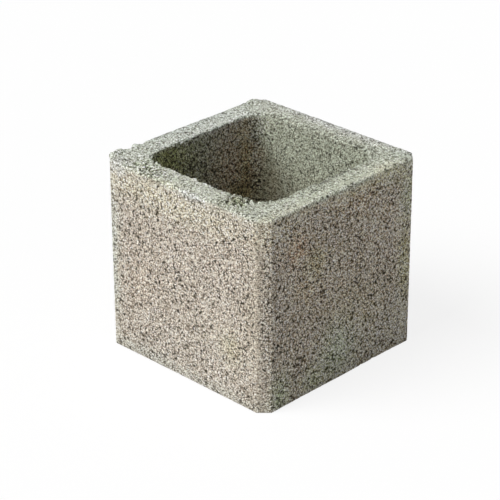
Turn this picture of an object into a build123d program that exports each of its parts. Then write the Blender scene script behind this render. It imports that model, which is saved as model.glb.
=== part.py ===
from build123d import *
import os

# A hollow concrete block, moulded in one piece. Lengths are in millimetres and +Z is up.
# The origin is the centre of the bottom bed, so the block stands on Z = 0.

# The outside is a square prism, one course high
block_width = 205.0  # outer face to outer face along X
block_depth = 205.0  # outer face to outer face along Y
block_height = 190.0  # a 200 course less its 10 mortar joint
corner_chamfer = 9.5  # leg of the narrow flat down each upright corner

# One square core goes right through, left by a tapered former that draws out upwards
wall_thickness = 26.0  # at the top bed, the same on all four sides
core_taper = 2.0  # how much thicker each wall is at the bottom bed
core_corner_radius = 22.0  # upright corners of the core, at the top bed

# The edges, from the mould and from handling
top_arris_radius = 2.5  # round the outside of the top bed, rubbed soft
core_mouth_radius = 2.0  # where the core opens through the top bed
bottom_arris_radius = 1.0  # round the outside of the bottom bed, nearly sharp
core_foot_radius = 1.0  # where the core opens through the bottom bed


def outer_body():
    """The square plan with its four corners cut off, raised to the full height."""
    plan = Rectangle(block_width, block_depth)
    cut_plan = chamfer(plan.vertices(), corner_chamfer)
    return extrude(cut_plan, amount=block_height)


def core_section(level, inset):
    """The core's rounded square at one level, drawn in by inset from its size at the top bed."""
    wall = wall_thickness + inset
    section = RectangleRounded(
        block_width - 2 * wall,
        block_depth - 2 * wall,
        core_corner_radius - inset,
    )
    return Pos(0, 0, level) * section


def core_former():
    """The tapered former: straight walls between its sections at the two beds."""
    at_bottom = core_section(0, core_taper)
    at_top = core_section(block_height, 0)
    return loft([at_bottom, at_top], ruled=True)


def bed(body, level):
    """The flat ring of the body at one level, the top bed or the bottom bed."""
    level_faces = body.faces().filter_by(Plane.XY)
    return level_faces.sort_by(lambda face: abs(face.center().Z - level))[0]


def hollow_block():
    """The outer body with its core drawn out and the edges of both beds softened."""
    body = (outer_body() - core_former()).solid()
    for level, outside_radius, core_radius in (
        (block_height, top_arris_radius, core_mouth_radius),
        (0, bottom_arris_radius, core_foot_radius),
    ):
        body = body.fillet(outside_radius, bed(body, level).outer_wire().edges())
        body = body.fillet(core_radius, bed(body, level).inner_wires()[0].edges())
    return body


os.makedirs("parts", exist_ok=True)
block = hollow_block()
block.label = "hollow_block"
export_step(block, "parts/hollow_block.step")
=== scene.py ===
from functools import partial
from math import pi, radians
import bpy
import numpy as np
from mathutils import Matrix, Vector


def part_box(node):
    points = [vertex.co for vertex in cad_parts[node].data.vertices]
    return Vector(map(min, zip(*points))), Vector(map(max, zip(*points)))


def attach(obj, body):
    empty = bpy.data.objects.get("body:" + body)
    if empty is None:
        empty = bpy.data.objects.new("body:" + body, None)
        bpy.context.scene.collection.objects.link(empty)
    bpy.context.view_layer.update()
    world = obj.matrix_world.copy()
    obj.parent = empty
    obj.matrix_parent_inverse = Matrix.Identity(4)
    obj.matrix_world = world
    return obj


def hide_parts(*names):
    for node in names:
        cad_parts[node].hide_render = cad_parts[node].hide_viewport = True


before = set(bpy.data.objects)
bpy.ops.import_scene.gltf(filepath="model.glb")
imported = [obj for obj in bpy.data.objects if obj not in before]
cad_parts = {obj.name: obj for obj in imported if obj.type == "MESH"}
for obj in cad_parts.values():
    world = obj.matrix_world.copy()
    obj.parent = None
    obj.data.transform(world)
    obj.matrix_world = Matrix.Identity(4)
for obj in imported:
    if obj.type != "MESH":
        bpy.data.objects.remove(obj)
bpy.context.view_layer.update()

# A hollow concrete block on a pale floor. The block is worked out in millimetres, with +Z up and
# the origin at the centre of its bottom bed, and scaled to metres as its mesh is written.

mm = 0.001
octaveShift = 17.3  # moves each octave of noise aside, in cells, so that no two line up
beyondAny = 9.0     # farther than the nearest spot can be, in cells


def smoothStep(value, low, high):
    # 0 below low, 1 above high, and 3t^2 - 2t^3 between them
    t = np.clip((value - low) / (high - low), 0.0, 1.0)
    return t * t * (3.0 - 2.0 * t)


def blend(start, end, share):
    # start + (end - start) x share, for colours
    return start + (np.array(end) - start) * share[..., None]


def toLinear(colour):
    # an sRGB hex colour as linear red, green and blue
    values = [int(colour[i:i + 2], 16) / 255 for i in (1, 3, 5)]
    return tuple(v / 12.92 if v <= 0.04045 else ((v + 0.055) / 1.055) ** 2.4 for v in values)


def latticeRandom(cells, seed):
    # a cell's three whole numbers and the seed, each times a large prime, stirred together by
    # shifts and products and folded to 0..1: the same on every run
    n = cells[..., 0] * 73856093 ^ cells[..., 1] * 19349663 ^ cells[..., 2] * 83492791
    n = (n ^ seed * 374761393) & 0xffffffff
    n = (n ^ n >> 15) * 2246822519 & 0xffffffff
    n = (n ^ n >> 13) * 3266489917 & 0xffffffff
    return (n ^ n >> 16) / 4294967296.0


def softNoise(points, size, seed, octaves=1):
    # random values on a lattice of that size, blended between its corners by 3t^2 - 2t^3;
    # each further octave is half as wide and half as strong. About -1 to 1.
    total, strength, reach = 0.0, 1.0, 0.0
    for octave in range(octaves):
        place = points * (2 ** octave / size) + octaveShift * octave
        cell = np.floor(place).astype(np.int64)
        t = place - cell
        t = t * t * (3.0 - 2.0 * t)
        value = 0.0
        for corner in np.ndindex(2, 2, 2):
            side = np.array(corner)
            weight = np.prod(np.where(side == 1, t, 1.0 - t), axis=-1)
            value = value + weight * latticeRandom(cell + side, seed + octave)
        total = total + strength * (2.0 * value - 1.0)
        reach += strength
        strength /= 2
    return total / reach


def nearestSpot(points, size, seed):
    # one spot at a random place in each cell of a lattice: how far the nearest one is,
    # and a random number that belongs to that spot
    place = points / size
    cell = np.floor(place).astype(np.int64)
    nearest = np.full(points.shape[:-1], beyondAny)
    number = np.zeros(points.shape[:-1])
    for step in np.ndindex(3, 3, 3):
        home = cell + np.array(step) - 1
        spot = np.stack([latticeRandom(home, seed + axis) for axis in range(3)], axis=-1)
        away = np.linalg.norm(home + spot - place, axis=-1)
        closer = away < nearest
        nearest = np.where(closer, away, nearest)
        number = np.where(closer, latticeRandom(home, seed + 3), number)
    return nearest * size, number


def patchShare(points, place, reach, power=2):
    # exp(-d^power), with the distance d from the patch's middle measured in reaches
    away = np.linalg.norm((points - np.array(place)) / np.array(reach), axis=-1)
    return np.exp(-away ** power)


blockLow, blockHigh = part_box("hollow_block")

hollowBlock = {
    # plan and section, as the solid has them
    "half": (blockHigh[0] - blockLow[0]) / 2 / mm,  # middle to outer face
    "height": (blockHigh[2] - blockLow[2]) / mm,
    "chamfer": 9.5,           # leg of the flat down each upright corner
    "wall": 26.0,             # at the top bed
    "taper": 2.0,             # how much thicker the wall is at the bottom bed
    "coreRadius": 22.0,       # the core's upright corners, at the top bed
    "topArris": 2.5,          # radii of the edges of the two beds
    "coreMouth": 2.0,
    "bottomArris": 1.0,
    "coreFoot": 1.0,

    # the grid: its columns go round the plan, and its rows round the wall's section
    "sideColumns": 38,        # from the middle of a side to where the core's corner begins
    "cornerColumns": 23,      # from there to the chamfer
    "flatColumns": 4,         # half of the chamfer
    "creaseGrowth": 1.35,     # columns stand closer together near the chamfer's edges
    "faceRows": 96,
    "topArrisRows": 3,
    "topBedRows": 16,
    "coreMouthRows": 3,
    "coreRows": 56,
    "coreFootRows": 2,
    "bottomBedRows": 8,
    "bottomArrisRows": 2,
    "coreRowGrowth": 2.2,     # rows at the core's foot are this much wider than at its mouth

    # relief; the last number in each pair of brackets is a seed
    "swell": (45.0, 0.3, 11),     # size and height of the slow unevenness of the mould's faces
    "rough": (5.0, 0.16, 23),
    "grit": (2.6, 0.3, 31),       # the aggregate: grains of 2 to 3 mm standing in their paste
    "gritFoot": 0.6,              # how far from its middle a grain meets the paste, in its size
    "gritLeast": 0.4,             # the lowest grain's share of that height; the highest has 1 more
    "pit": (5.5, 1.7, 1.5, 0.3, 47),    # small open voids: spacing, widest radius, depth, share
    "void": (17.0, 2.6, 2.6, 0.4, 59),  # the fewer large ones
    "voidLeast": 0.45,            # the smallest void's radius, as a share of the widest
    "pasteCalm": 0.55,            # how much of grit and voids the closed paste smooths away

    # loose crumbs along the edges of the top bed
    "crumb": (2.5, 1.0, 3.2),     # their size, how unevenly and how far they stand
    "crumbSeeds": (83, 89),
    "crumbFoot": 0.5,             # as for the grit
    "crumbLeast": 0.3,
    "crumbGap": (0.55, 0.8),      # where the gap between them starts and is full, in their size
    "crumbReach": 2.6,            # how far they go from the edges
    "arrisShare": 0.25,           # the outer edge is firmer than the core's mouth
    "firmArris": ((103.0, 2.0, 190.0), (9.0, 88.0, 12.0)),  # and has no crumbs at all here

    # where the top bed crumbles farther in: place, reach and how much
    "crumbled": [
        ((-34.0, -98.0, 190.0), 14.0, 0.9), ((54.0, -88.0, 190.0), 12.0, 2.0),
        ((-62.0, -88.0, 190.0), 14.0, 1.3), ((52.0, 80.0, 190.0), 9.0, 0.5),
    ],

    # burrs left by the mould's lid, and crumbs that stand or are broken out: place, reach, rise
    "bedSpots": [
        ((-101.0, -90.0, 189.0), 4.5, 2.3), ((-101.0, -82.5, 189.0), 4.0, 2.5),
        ((-102.0, -70.0, 189.5), 2.8, -1.4), ((-101.0, -64.0, 189.0), 3.0, 1.6),
        ((-102.0, -55.0, 189.5), 3.0, -2.2), ((-97.0, 90.0, 189.0), 6.0, 1.2),
        ((59.0, -79.5, 189.0), 3.2, 2.6), ((51.0, -80.5, 189.0), 3.0, 2.2),
        ((44.0, -79.5, 189.0), 2.4, 1.4), ((55.0, -85.0, 190.0), 2.4, -2.4),
        ((47.0, -84.0, 190.0), 2.2, -1.8), ((62.0, -88.0, 190.0), 2.2, -1.6),
        ((60.0, 88.0, 190.0), 2.6, -2.4), ((54.0, 79.0, 189.5), 2.6, -2.0),
        ((90.0, 79.0, 190.0), 2.2, -1.6), ((-52.0, 82.0, 189.5), 2.8, -2.2),
        ((63.0, 83.0, 190.0), 2.3, -2.4), ((70.0, 91.0, 190.0), 2.2, -2.0),
        ((47.0, 76.5, 187.5), 2.5, -2.0), ((77.0, 95.0, 190.0), 2.3, -1.8),
        ((-71.0, -90.0, 190.0), 2.1, -1.8), ((-63.0, -94.0, 190.0), 2.0, -1.6),
        ((-55.0, -88.0, 190.0), 2.2, -1.9), ((-47.0, -92.0, 190.0), 2.0, -1.5),
        ((-71.0, -71.0, 187.0), 8.0, -0.9),  # the core's mouth is worn wider here
        ((-10.0, -77.0, 189.0), (62.0, 4.5, 4.5), -0.8),  # and its front lip is worn down
    ],
    "spotPower": 4,               # the higher, the flatter a spot and the steeper its side

    # depths at which a hollow starts to get painted shade, and gets the most
    "voidDark": (0.1, 1.0),
    "crumbDark": (0.3, 1.2),
    "wornDepth": 0.9,             # a spot less deep than this is worn smooth, and gets no painted shade

    # cement paste: the film on the faces and the beds, and how wide its bands are
    "filmPaste": 0.6,             # how far each of them closes the grain
    "bedPaste": 0.5,
    "wander": (30.0, 7.0, 71),    # size and reach of the bands' waves
    "bedWander": 6.0,             # the beds' borders wander this many times less
    "soft": 6.0,                  # how gradually a band ends
    "belowTop": 9.0,              # bands on the outer faces
    "aboveBottom": 6.0,
    "besideEdge": 5.0,
    "edgeShare": 0.45,
    "belowMouth": 14.0,           # and in the core
    "coreShare": 0.5,
    "faceDepth": 1.0,             # what is less deep than this belongs to the outer faces
    "topBed": (3.0, 0.5),         # how far below the top the bed's paste starts and is full
    "bottomBed": (0.3, 1.0),      # how far above the bottom it starts to end and is gone

    # where the grain is more open (below 0) or more closed (above): place, reach, how much
    "evenPlaces": [
        ((102.0, 0.0, 95.0), (9.0, 140.0, 140.0), -3.6),    # the +X face, in shade: its darker holes and stronger grain are painted shade
        ((-76.0, 0.0, 95.0), (9.0, 140.0, 140.0), -5.8),    # the core's -X wall, in shade: likewise painted shade
        ((-95.0, -102.0, 95.0), (14.0, 9.0, 130.0), 0.7),   # beside the left corner
        ((0.0, 76.0, 95.0), (140.0, 9.0, 140.0), 0.2),      # the core's +Y wall
        ((98.0, -98.0, 95.0), (9.0, 9.0, 130.0), 1.6),      # the near chamfer
        ((102.0, 0.0, 188.0), (9.0, 93.0, 8.0), 3.0),       # along the firm arris
        ((54.0, -86.0, 190.0), (14.0, 11.0, 8.0), -3.0),    # where the front bed crumbles
        ((-56.0, -92.0, 190.0), (28.0, 9.0, 8.0), -4.0),
    ],
    "evenPower": 6,               # how sharp the border of these places and of the firm arris is
    "inCore": 80.0,               # a place this near the middle, and below the next height, is
    "inCoreBelow": 185.0,         # down in the core

    # colours
    "stone": "#c7b9a7",           # pinkish sand, open on the faces
    "bedColour": "#c7ccb8",       # greenish-grey cement that closes the beds
    "filmColour": "#cbc3b2",      # a thin film of it over the sand, below the top arris
    "core": "#aaad98",            # greenish-grey inside, darker than the faces as painted shade, the more so the deeper
    "coreDeepShade": "#918f7a",
    "shadeDeepens": (105.0, 178.0),    # heights between which the core's painted shade grows
    "wave": (9.0, 4.0, (101, 107, 113)),  # size, reach and seeds of the waves in a stain's border

    # soft stains, from the sand's iron and from damp, with painted light and painted shade among
    # them: place, reach along each axis, colour
    "stainsLightAndShade": [
        ((102.0, 0.0, 90.0), (9.0, 130.0, 130.0), "#dac6a7"),     # the +X face: warmer, and paler than the other faces as painted light
        ((102.0, 60.0, 22.0), (9.0, 70.0, 34.0), "#fbefc6"),      # paler at its foot
        ((102.0, 12.0, 76.0), (9.0, 44.0, 20.0), "#c4b395"),
        ((102.0, -76.0, 176.0), (9.0, 26.0, 12.0), "#f2e3bb"),
        ((102.0, 56.0, 182.0), (9.0, 50.0, 9.0), "#f8f5c0"),
        ((102.0, -61.0, 150.0), (9.0, 15.0, 18.0), "#dab492"),    # orange
        ((102.0, -50.0, 110.0), (9.0, 14.0, 14.0), "#d6be9b"),
        ((102.0, -36.0, 130.0), (9.0, 14.0, 16.0), "#d5c396"),    # yellow
        ((102.0, 30.0, 46.0), (9.0, 14.0, 14.0), "#eedbae"),
        ((102.0, 24.0, 172.0), (9.0, 28.0, 14.0), "#ecd0a7"),     # red
        ((102.0, 50.0, 146.0), (9.0, 20.0, 16.0), "#f2d9b3"),
        ((102.0, -6.0, 28.0), (9.0, 22.0, 25.0), "#eaffc4"),      # green
        ((102.0, -82.0, 14.0), (9.0, 14.0, 22.0), "#c2cda2"),
        ((102.0, -39.0, 13.0), (9.0, 14.0, 11.0), "#e7f1b6"),
        ((102.0, 86.0, 89.0), (9.0, 9.0, 34.0), "#e3dba1"),
        ((102.0, 88.0, 156.0), (9.0, 10.0, 20.0), "#e9f0b9"),
        ((61.0, -102.0, 50.0), (14.0, 9.0, 17.0), "#b9af8c"),     # the -Y face
        ((25.0, -102.0, 48.0), (15.0, 9.0, 13.0), "#b9ad99"),
        ((98.0, -98.0, 70.0), (6.0, 6.0, 130.0), "#baaf9e"),      # the near chamfer
        ((84.0, -102.0, 70.0), (7.0, 9.0, 76.0), "#baae9b"),
        ((-92.0, -102.0, 90.0), (9.0, 12.0, 80.0), "#cdd0c0"),    # the -Y face again
        ((-11.0, -102.0, 5.0), (90.0, 9.0, 9.0), "#a9b2a7"),
        ((0.0, -102.0, 26.0), (110.0, 9.0, 34.0), "#c7bbaa"),     # a little darker low down: painted shade
        ((-58.0, -102.0, 84.0), (24.0, 9.0, 28.0), "#cdbca8"),
        ((-84.0, -102.0, 189.0), (12.0, 12.0, 9.0), "#c8c8c0"),   # lime at the left corner
        ((-102.0, 10.0, 190.0), (30.0, 90.0, 6.0), "#c9d0c3"),    # the left bed, bluish
        ((0.0, 92.0, 190.0), (90.0, 16.0, 6.0), "#c0c2b2"),       # the beds at the back and right
        ((92.0, 0.0, 190.0), (16.0, 90.0, 6.0), "#c1c6b0"),
        ((92.0, 92.0, 190.0), (16.0, 14.0, 6.0), "#bac1af"),
        ((0.0, 76.5, 189.0), (70.0, 10.5, 4.0), "#aeb09d"),       # the core's lip: painted shade on its rounded edge
        ((77.5, 2.0, 190.0), (6.5, 66.0, 4.0), "#9d9e8e"),        # behind and to the right
        ((-79.5, 5.0, 190.0), (6.5, 66.0, 4.0), "#d6dcce"),       # and painted light on it to the left
        ((-12.0, -80.5, 190.0), (60.0, 5.0, 4.0), "#e7edd5"),     # and in front
        ((102.0, 0.0, 190.0), (6.0, 90.0, 3.0), "#bdc2ad"),       # the beds' outer borders
        ((0.0, 97.5, 190.0), (84.0, 5.0, 4.0), "#cacbc3"),
        ((54.0, -86.0, 190.0), (12.0, 10.0, 6.0), "#afb291"),     # where the front bed crumbles
        ((-60.0, -90.0, 190.0), (16.0, 10.0, 4.0), "#deeac3"),
        ((-20.0, -102.0, 172.0), (90.0, 9.0, 13.0), "#e5d9ba"),   # paler below the front arris
        ((-16.0, -102.0, 190.0), (9.0, 4.0, 3.6), "#e2e5c6"),     # lime along the front arris
        ((14.0, -102.0, 188.5), (16.0, 4.0, 4.2), "#cccec4"),
        ((-104.0, 14.0, 189.0), (3.6, 86.0, 4.0), "#7c7c7a"),     # painted shade along the rounded back arrises
        ((0.0, 104.0, 189.0), (96.0, 3.6, 4.0), "#a9aaac"),
        ((-76.0, 0.0, 125.0), (9.0, 110.0, 60.0), "#a7a38b"),     # inside the core
        ((-76.0, 40.0, 140.0), (9.0, 28.0, 50.0), "#d1b092"),     # sandy brown
        ((-75.0, 56.0, 140.0), (9.0, 8.0, 50.0), "#bb9f7a"),
        # painted shade in the core's back corner, deep down
        ((-58.0, 76.0, 112.0), (10.0, 12.0, 26.0), "#a29b82"),
        # painted light near the top of that corner
        ((-66.0, 72.0, 180.0), (8.0, 9.0, 14.0), "#d0d5bb"),
        ((-76.0, 48.0, 112.0), (9.0, 20.0, 14.0), "#91825d"),
        ((-76.0, -48.0, 170.0), (12.0, 36.0, 40.0), "#a6aa6f"),   # and olive
    ],
}


def planLines(spec):
    # Both outlines of the plan, walked round together. An eighth runs from the middle of a side
    # to the diagonal; mirrored and turned it gives the rest. The core's outline is a smaller
    # square carried outwards by the corner radius: base points, and directions that carry them.
    half, chamfer = spec["half"], spec["chamfer"]
    straight = half - spec["wall"] - spec["coreRadius"]
    cornerRun = half - chamfer - straight
    flatRun = chamfer / 2 ** 0.5
    growth = spec["creaseGrowth"]
    toCrease = np.linspace(1.0, 0.0, spec["cornerColumns"], endpoint=False) ** growth
    fromCrease = np.linspace(0.0, 1.0, spec["flatColumns"] + 1) ** growth
    walked = np.concatenate([
        np.linspace(0.0, straight, spec["sideColumns"], endpoint=False),
        straight + cornerRun * (1.0 - toCrease), straight + cornerRun + flatRun * fromCrease])
    inwards = np.clip(walked - straight - cornerRun, 0.0, None) / 2 ** 0.5
    angle = np.clip(walked - straight, 0.0, None) / (cornerRun + flatRun) * pi / 4
    outer = np.stack([half - inwards, np.minimum(walked, half - chamfer) + inwards], axis=-1)
    base = np.stack([np.full(walked.size, straight), np.minimum(walked, straight)], axis=-1)
    carry = np.stack([np.cos(angle), np.sin(angle)], axis=-1)

    def wholeWay(eighth):
        quarter = np.concatenate([eighth, eighth[-2:0:-1, ::-1]])
        turns = [np.array([[c, s], [-s, c]]) for c, s in ((1, 0), (0, 1), (-1, 0), (0, -1))]
        return np.concatenate([quarter @ turn for turn in turns])

    outer, base, carry = wholeWay(outer), wholeWay(base), wholeWay(carry)
    outer = (np.roll(outer, 1, axis=0) + 2 * outer + np.roll(outer, -1, axis=0)) / 4
    return outer, base, carry  # the outer corners eased by averaging neighbours


def sectionRows(spec):
    # The way round the wall's cross-section, one entry a row: the height, how far across the
    # wall (0 outer face, 1 core), and how far the rounded edges draw in from either side.
    height = spec["height"]
    rows = []

    def addRows(level, across, fromOuter, fromCore):
        rows.append(np.stack(np.broadcast_arrays(level, across, fromOuter, fromCore), axis=-1))

    def steps(name):
        # 0 to just under 1, evenly, in as many rows as that part has
        return np.arange(spec[name + "Rows"]) / spec[name + "Rows"]

    def turned(name, start):
        # angles of a quarter circle from start, down to the quarter's end
        return radians(start) - pi / 2 * steps(name)

    topArris, mouth = spec["topArris"], spec["coreMouth"]
    foot, bottomArris = spec["coreFoot"], spec["bottomArris"]
    addRows(bottomArris + (height - bottomArris - topArris) * steps("face"), 0.0, 0.0, 0.0)
    angle = turned("topArris", 180)
    drawnIn = topArris * (1 + np.cos(angle))
    addRows(height - topArris + topArris * np.sin(angle), 0.0, drawnIn, 0.0)
    addRows(height, steps("topBed"), topArris, mouth)
    angle = turned("coreMouth", 90)
    addRows(height - mouth + mouth * np.sin(angle), 1.0, 0.0, mouth * (1 - np.cos(angle)))
    fall = steps("core")
    fall = fall * (1 + (spec["coreRowGrowth"] - 1) * fall) / spec["coreRowGrowth"]
    addRows(height - mouth - (height - mouth - foot) * fall, 1.0, 0.0, 0.0)
    angle = turned("coreFoot", 0)
    addRows(foot + foot * np.sin(angle), 1.0, 0.0, foot * (1 - np.cos(angle)))
    addRows(0.0, 1.0 - steps("bottomBed"), bottomArris, foot)
    angle = turned("bottomArris", -90)
    drawnIn = bottomArris * (1 + np.cos(angle))
    addRows(bottomArris + bottomArris * np.sin(angle), 0.0, drawnIn, 0.0)
    return np.concatenate(rows)


def plainSkin(spec):
    # The block before weathering: every row of the cross-section carried round the plan.
    # With the points come the distances from the top arris and from the core's mouth.
    outer, base, carry = planLines(spec)
    level, across, fromOuter, fromCore = sectionRows(spec).T[:, :, None]
    inset = spec["taper"] * (1 - level / spec["height"])
    core = base[None] + carry[None] * (spec["coreRadius"] - inset)[..., None]
    wall = np.linalg.norm(core - outer[None], axis=-1)
    offset = (1 - across) * fromOuter + across * (wall - fromCore)
    flat = outer[None] + (core - outer[None]) * (offset / wall)[..., None]
    points = np.concatenate([flat, np.broadcast_to(level, wall.shape)[..., None]], axis=-1)
    below = spec["height"] - level
    return points, across * spec["wall"] + below, (1 - across) * spec["wall"] + below


def gridNormals(points):
    # the cross product of the differences along the grid's two ways, which both close up
    along = np.roll(points, -1, axis=1) - np.roll(points, 1, axis=1)
    up = np.roll(points, -1, axis=0) - np.roll(points, 1, axis=0)
    normal = np.cross(along, up)
    return normal / np.linalg.norm(normal, axis=-1, keepdims=True)


def voidDepth(points, spacing, radius, depth, share, seed, least):
    # a share of the lattice's spots are voids, each of its own radius: depth x (1 - (d/r)^2)
    away, number = nearestSpot(points, spacing, seed)
    own = radius * (least + (1 - least) * (number / share))
    bowl = np.clip(1.0 - (away / own) ** 2, 0.0, 1.0)
    return np.where(number < share, depth * bowl * own / radius, 0.0)


def pasteCover(points, spec):
    # how much cement film lies on the outer faces along their edges and on the core below its
    # mouth, and how much of the closed paste of the beds there is: 0 to 1 each
    x, y, z = np.moveaxis(np.abs(points), -1, 0)
    half, height = spec["half"], spec["height"]
    outermost = np.maximum(np.maximum(x, y), (x + y + spec["chamfer"]) / 2)
    outside = outermost > half - spec["faceDepth"]
    besideEdge = np.abs(half - spec["chamfer"] - np.minimum(x, y))
    size, reach, seed = spec["wander"]
    wander = reach * softNoise(points, size, seed, octaves=3)

    def band(distance, width):
        # 1 near the edge, 0 past the width, and soft between them
        return 1.0 - smoothStep(distance + wander, width - spec["soft"], width + spec["soft"])

    outer = np.maximum.reduce([
        band(height - z, spec["belowTop"]), band(z, spec["aboveBottom"]) * spec["edgeShare"],
        band(besideEdge, spec["besideEdge"]) * spec["edgeShare"]])
    core = np.maximum(band(height - z, spec["belowMouth"]), spec["coreShare"])
    start, full = spec["topBed"]
    top = smoothStep(z + wander / spec["bedWander"], height - start, height - full)
    bed = np.maximum(top, 1.0 - smoothStep(z, *spec["bottomBed"]))
    return np.where(outside, outer, core), bed, outside


def shownOn(outside, bed, place, spec):
    # 1 everywhere, but for a place down in the core 0 on the outer faces and on the beds, where
    # it doesn't show through
    fromMiddle = max(abs(place[0]), abs(place[1]))
    inCore = fromMiddle < spec["inCore"] and place[2] < spec["inCoreBelow"]
    return (1.0 - outside) * (1.0 - bed) if inCore else 1.0


def stainLightAndShadeColour(points, film, bed, outside, spec):
    # stone under cement film on the outside, the core's own colour inside with painted shade that
    # grows downwards, closed paste on the beds, then each soft stain, painted light and painted
    # shade laid over by its share, its border waved by noise
    colour = np.array(toLinear(spec["stone"])) + np.zeros(points.shape)
    # the core's painted shade: 0 near its mouth, 1 deep down
    depth = 1.0 - smoothStep(points[..., 2], *spec["shadeDeepens"])
    core = blend(np.array(toLinear(spec["core"])), toLinear(spec["coreDeepShade"]), depth)
    colour = np.where(outside[..., None], colour, core)
    colour = blend(colour, toLinear(spec["filmColour"]), film * outside)
    colour = blend(colour, toLinear(spec["bedColour"]), bed)
    size, reach, seeds = spec["wave"]
    waves = [softNoise(points, size, seed, octaves=2) for seed in seeds]
    waved = points + reach * np.stack(waves, axis=-1)
    for place, reach, tint in spec["stainsLightAndShade"]:
        share = patchShare(waved, place, reach) * shownOn(outside, bed, place, spec)
        colour = blend(colour, toLinear(tint), share)
    return colour


def weatheredSkin(spec):
    # the plain skin moved along its normals by swell + roughness + (grit - voids) x openness
    # + crumbs + spots, with the painted shade in its hollows, how closed and what colour it is
    # at each point
    points, fromArris, fromMouth = plainSkin(spec)
    normals = gridNormals(points)
    film, bed, outside = pasteCover(points, spec)
    paste = np.maximum(film * spec["filmPaste"], bed * spec["bedPaste"])
    for place, reach, much in spec["evenPlaces"]:
        share = patchShare(points, place, reach, spec["evenPower"])
        paste = paste + much * share * shownOn(outside, bed, place, spec)
    openness = 1.0 - spec["pasteCalm"] * np.clip(paste, 0.0, 1.0)

    def unevenness(size, height, seed):
        return height * softNoise(points, size, seed, octaves=2)

    def looseness(distance):
        return np.exp(-(distance / spec["crumbReach"]) ** 2)

    loose = np.maximum(looseness(fromMouth), spec["arrisShare"] * looseness(fromArris))
    loose = loose * (1.0 - patchShare(points, *spec["firmArris"], spec["evenPower"]))
    loose = loose + sum(
        much * patchShare(points, place, reach) for place, reach, much in spec["crumbled"])
    size, uneven, stand = spec["crumb"]
    spotSeed, noiseSeed = spec["crumbSeeds"]
    away, number = nearestSpot(points, size, spotSeed)
    standing = stand * (spec["crumbFoot"] - away / size) * (spec["crumbLeast"] + number)
    crumbs = loose * (uneven * softNoise(points, size, noiseSeed) + standing)
    gaps = loose * smoothStep(away / size, *spec["crumbGap"])
    spots = sum(rise * patchShare(points, place, reach, spec["spotPower"])
                for place, reach, rise in spec["bedSpots"])
    size, height, seed = spec["grit"]
    away, number = nearestSpot(points, size, seed)
    grit = height * (spec["gritFoot"] - away / size) * (spec["gritLeast"] + number)
    pits = voidDepth(points, *spec["pit"], spec["voidLeast"])
    voids = voidDepth(points, *spec["void"], spec["voidLeast"])
    shift = unevenness(*spec["swell"]) + unevenness(*spec["rough"])
    shift = shift + openness * (grit - pits - voids) + crumbs + spots
    # painted shade in the modelled hollows: pits, voids, crumb gaps and broken-out spots
    brokenOut = np.minimum(spots + spec["wornDepth"], 0.0)
    hollow = smoothStep(openness * (pits + voids) - brokenOut, *spec["voidDark"])
    hollow = np.maximum(hollow, np.maximum(gaps, smoothStep(-crumbs, *spec["crumbDark"])))
    stainLightAndShade = stainLightAndShadeColour(points, film, bed, outside, spec)
    points = points + normals * shift[..., None]
    points[..., 2] = np.maximum(points[..., 2], 0.0)  # it was pressed flat on its pallet
    return points, {"hollow": hollow, "paste": paste, "stainLightAndShade": stainLightAndShade}


def writeSkin(name, points, attributes):
    # A grid that closes both ways, so a closed surface with no poles: each face joins a point
    # to the next ones along its row and its column. One number a point becomes a plain
    # attribute, and three become a colour.
    rows, columns = points.shape[:2]
    row, column = np.meshgrid(np.arange(rows), np.arange(columns), indexing="ij")
    nextRow, nextColumn = (row + 1) % rows, (column + 1) % columns
    faces = np.stack([
        row * columns + column, row * columns + nextColumn,
        nextRow * columns + nextColumn, nextRow * columns + column], axis=-1).reshape(-1, 4)
    mesh = bpy.data.meshes.new(name)
    mesh.vertices.add(rows * columns)
    mesh.vertices.foreach_set("co", (points * mm).astype(np.float32).ravel())
    mesh.loops.add(faces.size)
    mesh.loops.foreach_set("vertex_index", faces.astype(np.int32).ravel())
    mesh.polygons.add(len(faces))
    mesh.polygons.foreach_set("loop_start", np.arange(0, faces.size, 4, dtype=np.int32))
    mesh.polygons.foreach_set("use_smooth", np.ones(len(faces), dtype=bool))
    mesh.update(calc_edges=True)
    for attribute, values in attributes.items():
        kind = "FLOAT" if values.ndim == 2 else "FLOAT_COLOR"
        layer = mesh.attributes.new(attribute, kind, "POINT")
        if kind == "FLOAT":
            layer.data.foreach_set("value", values.astype(np.float32).ravel())
        else:
            whole = np.concatenate([values, np.ones(values.shape[:2] + (1,))], axis=-1)
            layer.data.foreach_set("color", whole.astype(np.float32).ravel())
    piece = bpy.data.objects.new(name, mesh)
    bpy.context.collection.objects.link(piece)
    return piece


def addNode(tree, kind, *inputs, sockets=None, output=0, **settings):
    # One node: its kind, with its operation after a space, the values or links of its sockets,
    # in their order or by name, and its other settings. It gives the output asked for.
    kind, *operation = kind.split()
    node = tree.nodes.new("ShaderNode" + kind)
    if operation:
        node.operation = operation[0]
    for name, value in settings.items():
        setattr(node, name, value)
    for name, value in {**dict(enumerate(inputs)), **(sockets or {})}.items():
        if isinstance(value, bpy.types.NodeSocket):
            tree.links.new(value, node.inputs[name])
        else:
            node.inputs[name].default_value = value
    return node.outputs[output] if node.outputs else node


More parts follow.
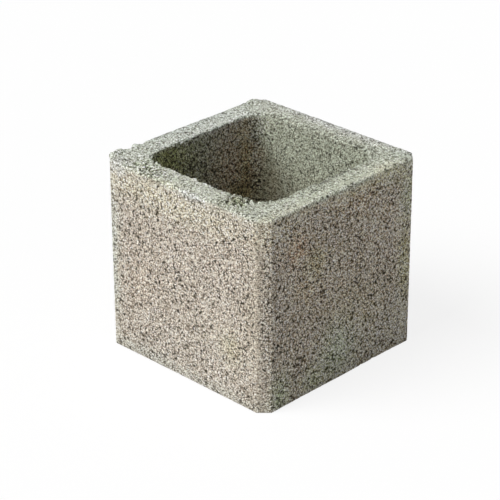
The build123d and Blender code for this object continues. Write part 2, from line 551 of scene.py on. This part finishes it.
# sizes and spacings in millimetres, and colours as shares of red, green and blue
concreteGrain = {
    "sand": 0.7,             # the real sand is 0.3 to 1 mm: drawn a little coarse, so that it shows
    "sandContrast": 1.25,
    "grit": 1.35,            # the finest of the grit
    "gritUneven": 0.7,       # it is graded, so its grains lie more evenly than by chance
    "gritContrast": 0.15,
    "gritRound": 1.35,       # how much darker the grit is between its grains than in their middles
    "pores": [(3.0, 0.5, 0.9), (6.0, 0.5, 1.6)],  # spacing, share of cells with one, widest radius
    "paleGrains": [(3.4, 0.6, 1.1)],
    "spotEdge": 0.2,         # how soft the edge of a pore or pale grain is
    "gaps": [(1.9, 0.72), (2.8, 0.88)],  # holes between grains: the grains' spacing, and how far
    "gapEdge": 0.04,         # from their middles a hole starts; then how much farther it is full,
    "gapGrowth": 0.07,       # and how much nearer it starts where the grain is open, in spacings
    "patchy": (16.0, 0.045),  # size of the places with larger or smaller holes, and by how much
    "warp": (1.3, 0.9),      # size and reach of the bends that make all outlines irregular
    "noiseDetail": 1.0,      # both noises have one finer octave
    "hollowShare": 0.88,     # how much painted shade a modelled hollow gets, beside a pore's
    "paleGrainShare": 0.8,
    "pasteCalm": 0.2,        # how much evener the grain is where paste closes it
    "paleRise": (0.85, 0.95, 1.07),  # how far a grain rises above the stain's colour, or falls
    "darkFall": (0.81, 0.85, 0.89),  # below it: paler is greyer
    "holeDark": (0.93, 0.94, 0.96),  # painted shade: how much light a hole keeps back
    "palest": 0.93,          # nothing in the mix is whiter than this
    "sandRise": 0.3,         # relief of the fine grain, and depth of its pores
    "poreFall": 0.6,
    "roughness": 0.95,       # dull cement; the index of refraction stays at 1.5, as for quartz
}


def mouldedConcrete(grain):
    # Dense-aggregate concrete pressed in a steel mould: open sand and grit in cement paste, the
    # tone of each grain its own and small pores between, darkened as painted shade. Dull, with no
    # gloss of its own. Colour = stain x (1 + rise x light) x (1 - fall x dark) x (1 - hole), held
    # below the palest; the stain carries painted light and shade too, and the hole is painted
    # shade.
    material = bpy.data.materials.new("mouldedConcrete")
    material.use_nodes = True
    tree = material.node_tree
    tree.nodes.clear()
    add = partial(addNode, tree)
    middle, one = 0.5, (1, 1, 1)

    def grains(spacing, unevenness=1.0):
        # each grain's random number and the distance from its middle, in spacings
        tint = add("TexVoronoi", output="Color", sockets={
            "Vector": inMm, "Scale": 1 / spacing, "Randomness": unevenness})
        return add("SeparateColor", tint), tint.node.outputs["Distance"]

    def roundSpots(kinds):
        # 1 where the middle of a grain is nearer than that grain's own radius, and 0 farther out
        total = 0.0
        for spacing, share, widest in kinds:
            number, away = grains(spacing)
            radius = add("Math SUBTRACT", number, 1 - share)
            radius = add("Math MULTIPLY", radius, widest / spacing / share)
            inside = add("Math SUBTRACT", radius, away)
            inside = add("Math DIVIDE", inside, grain["spotEdge"] / spacing, use_clamp=True)
            total = add("Math MAXIMUM", inside, total)
        return total

    place = add("TexCoord", output="Object")
    inMm = add("VectorMath SCALE", place, sockets={"Scale": 1 / mm})
    size, reach = grain["warp"]
    bend = add("TexNoise", output="Color", sockets={
        "Vector": inMm, "Scale": 1 / size, "Detail": grain["noiseDetail"]})
    bend = add("VectorMath SUBTRACT", bend, (middle,) * 3)
    bend = add("VectorMath SCALE", bend, sockets={"Scale": 2 * reach})
    inMm = add("VectorMath ADD", inMm, bend)

    sandNumber, sandAway = grains(grain["sand"])
    gritNumber, gritAway = grains(grain["grit"], grain["gritUneven"])
    sandTone = add("Math SUBTRACT", sandNumber, middle)
    sandTone = add("Math MULTIPLY", sandTone, 2 * grain["sandContrast"])
    gritTone = add("Math SUBTRACT", gritNumber, middle)
    gritTone = add("Math MULTIPLY", gritTone, 2 * grain["gritContrast"])
    roundTone = add("Math SUBTRACT", middle, gritAway)
    roundTone = add("Math MULTIPLY", roundTone, 2 * grain["gritRound"])
    paste = add("Attribute", output="Fac", attribute_name="paste")
    calm = add("Math SUBTRACT", 1.0, add("Math MULTIPLY", paste, grain["pasteCalm"]))
    tone = add("Math ADD", add("Math ADD", sandTone, gritTone), roundTone)
    tone = add("Math MULTIPLY", tone, calm)

    size, much = grain["patchy"]
    nearer = add("TexNoise", output="Fac", sockets={
        "Vector": inMm, "Scale": 1 / size, "Detail": grain["noiseDetail"]})
    nearer = add("Math SUBTRACT", nearer, middle)
    nearer = add("Math MULTIPLY", nearer, much)
    opened = add("Math MULTIPLY", add("Math SUBTRACT", calm, 1.0), grain["gapGrowth"])
    nearer = add("Math ADD", nearer, opened)
    pore = roundSpots(grain["pores"])
    for spacing, start in grain["gaps"]:
        away = add("Math ADD", grains(spacing)[1], nearer)
        gap = add("Math SUBTRACT", away, start)
        gap = add("Math DIVIDE", gap, grain["gapEdge"], use_clamp=True)
        pore = add("Math MAXIMUM", pore, gap)
    pore = add("Math MULTIPLY", pore, calm)

    pale = add("Math MULTIPLY", roundSpots(grain["paleGrains"]), grain["paleGrainShare"])
    light = add("Math MAXIMUM", add("Math MAXIMUM", tone, pale), 0.0)
    dark = add("Math MULTIPLY", tone, -1.0, use_clamp=True)
    hollow = add("Attribute", output="Fac", attribute_name="hollow")
    # hole: painted shade in pores, in gaps between grains and in the skin's modelled hollows
    hole = add("Math MAXIMUM", add("Math MULTIPLY", hollow, grain["hollowShare"]), pore)
    hole = add("Math MINIMUM", hole, 1.0)
    stainLightAndShade = add("Attribute", output="Color", attribute_name="stainLightAndShade")
    rise = add("VectorMath MULTIPLY_ADD", light, grain["paleRise"], one)
    fall = add("VectorMath MULTIPLY_ADD", dark, [-share for share in grain["darkFall"]], one)
    shade = add("VectorMath MULTIPLY_ADD", hole, [-share for share in grain["holeDark"]], one)
    colour = add("VectorMath MULTIPLY", stainLightAndShade, rise)
    colour = add("VectorMath MULTIPLY", colour, fall)
    colour = add("VectorMath MULTIPLY", colour, shade)
    colour = add("VectorMath MINIMUM", colour, (grain["palest"],) * 3)

    fineGrain = add("Math MULTIPLY", sandAway, -grain["sandRise"])
    height = add("Math SUBTRACT", fineGrain, add("Math MULTIPLY", pore, grain["poreFall"]))
    bump = add("Bump", sockets={"Distance": mm, "Height": height})
    shader = add("BsdfPrincipled", sockets={
        "Base Color": colour, "Roughness": grain["roughness"], "Normal": bump})
    add("OutputMaterial", shader)
    return material


points, attributes = weatheredSkin(hollowBlock)
block = writeSkin("blockSkin", points, attributes)
print("block skin:", len(block.data.vertices), "points")
block.data.materials.append(mouldedConcrete(concreteGrain))
print("moulded concrete:", len(block.data.materials[0].node_tree.nodes), "nodes")
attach(block, "root")
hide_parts("hollow_block")

studio = {
    "floorHalf": 8.0,          # metres from its middle to its edge
    "floorAlbedo": 0.62,       # what the floor gives back to the block
    "floorSeen": 0.95,         # its own paleness to the camera, which takes the shadow
    "floorOwnWhite": 0.85,     # the share of the floor's seen white that no shadow dims
    "skyStrength": 0.15,
    "lamps": {                 # strength, direction from which it shines, angle
        "keyLamp": (3.4, (-0.283, -0.613, 0.8), 40.0),
        "fillLamp": (0.34, (0.9, -0.3, 0.2), 60.0),
    },
}


def seenDirectly(tree):
    # 1 where the camera sees it, or sees it in a gloss or through glass
    rays = addNode(tree, "LightPath").node.outputs
    either = addNode(tree, "Math MAXIMUM", rays["Is Camera Ray"], rays["Is Glossy Ray"])
    return addNode(tree, "Math MAXIMUM", either, rays["Is Transmission Ray"])


def makeStudio(setup):
    # a sky that is white to the camera and dim to the block, a floor likewise, and the lamps
    white = (1, 1, 1, 1)
    world = bpy.data.worlds.new("studioSky")
    bpy.context.scene.world = world
    world.use_nodes = True
    tree = world.node_tree
    tree.nodes.clear()
    ends = {0: seenDirectly(tree), 2: setup["skyStrength"], 3: 1.0}
    strength = addNode(tree, "Mix", sockets=ends)
    addNode(tree, "OutputWorld", addNode(tree, "Background", white, strength))

    material = bpy.data.materials.new("paleFloor")
    material.use_nodes = True
    tree = material.node_tree
    tree.nodes.clear()
    plain = addNode(tree, "BsdfDiffuse", (setup["floorAlbedo"],) * 3 + (1,))
    pale = addNode(tree, "BsdfDiffuse", (setup["floorSeen"],) * 3 + (1,))
    glow = addNode(tree, "Emission", white, 1.0)
    seen = addNode(tree, "MixShader", setup["floorOwnWhite"], pale, glow)
    both = addNode(tree, "MixShader", seenDirectly(tree), plain, seen)
    addNode(tree, "OutputMaterial", both)
    far = setup["floorHalf"]
    corners = [(-far, -far, 0), (far, -far, 0), (far, far, 0), (-far, far, 0)]
    mesh = bpy.data.meshes.new("floor")
    mesh.from_pydata(corners, [], [(0, 1, 2, 3)])
    mesh.materials.append(material)
    floor = bpy.data.objects.new("floor", mesh)
    bpy.context.collection.objects.link(floor)

    for name, (energy, shinesFrom, angle) in setup["lamps"].items():
        lamp = bpy.data.lights.new(name, "SUN")
        lamp.energy = energy
        lamp.angle = radians(angle)
        holder = bpy.data.objects.new(name, lamp)
        holder.rotation_euler = Vector(shinesFrom).to_track_quat("Z", "Y").to_euler()
        bpy.context.collection.objects.link(holder)


makeStudio(studio)
print("studio: sky, floor and", len(studio["lamps"]), "lamps")

# the photo's own camera, found by fitting the block's straight edges
cameraView = {
    "place": (1.1539, -1.19012, 0.91402),  # metres
    "turn": 44.484,                        # degrees
    "downTilt": 26.3175,
    "roll": -0.22,
    "lens": 142.56,                        # millimetres
    "sensor": 36.0,
}


def makeCamera(view):
    # turned about +Z, then tilted down from level, then rolled about its own line of sight
    data = bpy.data.cameras.new("photoCamera")
    data.lens, data.sensor_width = view["lens"], view["sensor"]
    camera = bpy.data.objects.new("photoCamera", data)
    camera.matrix_world = (
        Matrix.Translation(view["place"])
        @ Matrix.Rotation(radians(view["turn"]), 4, "Z")
        @ Matrix.Rotation(radians(90 - view["downTilt"]), 4, "X")
        @ Matrix.Rotation(radians(view["roll"]), 4, "Z"))
    bpy.context.collection.objects.link(camera)
    bpy.context.scene.camera = camera


makeCamera(cameraView)
print("camera:", cameraView["lens"], "mm lens")
bpy.context.scene.view_settings.view_transform = "Standard"
